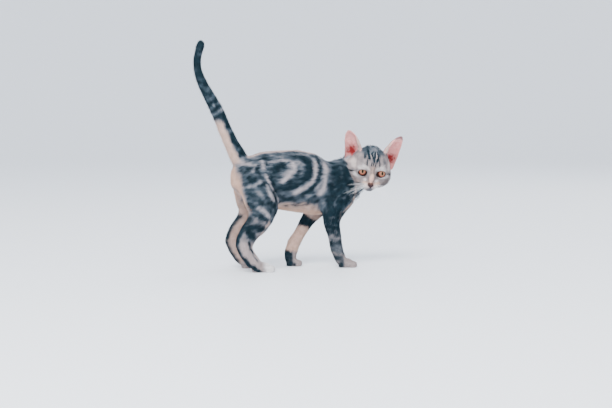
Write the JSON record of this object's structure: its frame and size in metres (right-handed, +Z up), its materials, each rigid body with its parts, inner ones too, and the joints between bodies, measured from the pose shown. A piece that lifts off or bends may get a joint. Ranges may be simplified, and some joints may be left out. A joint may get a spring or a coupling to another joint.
{
  "type": "tabby kitten, walking with its tail up",
  "caption": "Blotched tabby kitten standing in mid-stride, tail upright, head turned back over its right shoulder.",
  "frame": {"origin": "on the floor, under the middle of the whole kitten's box", "axes": "+X along the trunk from rump to chest, +Y the kitten's left, +Z up"},
  "size_m": [0.339, 0.0918, 0.3611],
  "materials": {
    "coat": "short dense fur, silver grey with slate blotches",
    "ear": "thin pink skin with sparse short hair",
    "nose_leather": "moist pebbled skin",
    "eye": "wet and glossy"
  },
  "bodies": {
    "root": {"trunk": "coat", "neck": "coat", "right_upper_arm": "coat", "right_forearm": "coat", "right_fore_paw": "coat", "right_thigh": "coat", "right_shank": "coat", "right_hind_foot": "coat", "right_hind_paw": "coat", "left_upper_arm": "coat", "left_forearm": "coat", "left_fore_paw": "coat", "left_thigh": "coat", "left_shank": "coat", "left_hind_foot": "coat", "left_hind_paw": "coat", "tail_tip": "coat", "tail_middle": "coat", "tail_base": "coat", "head": "coat", "nose": "nose_leather", "right_eye": "eye", "left_eye": "eye", "right_ear": "ear", "left_ear": "ear"}
  },
  "joints": []
}
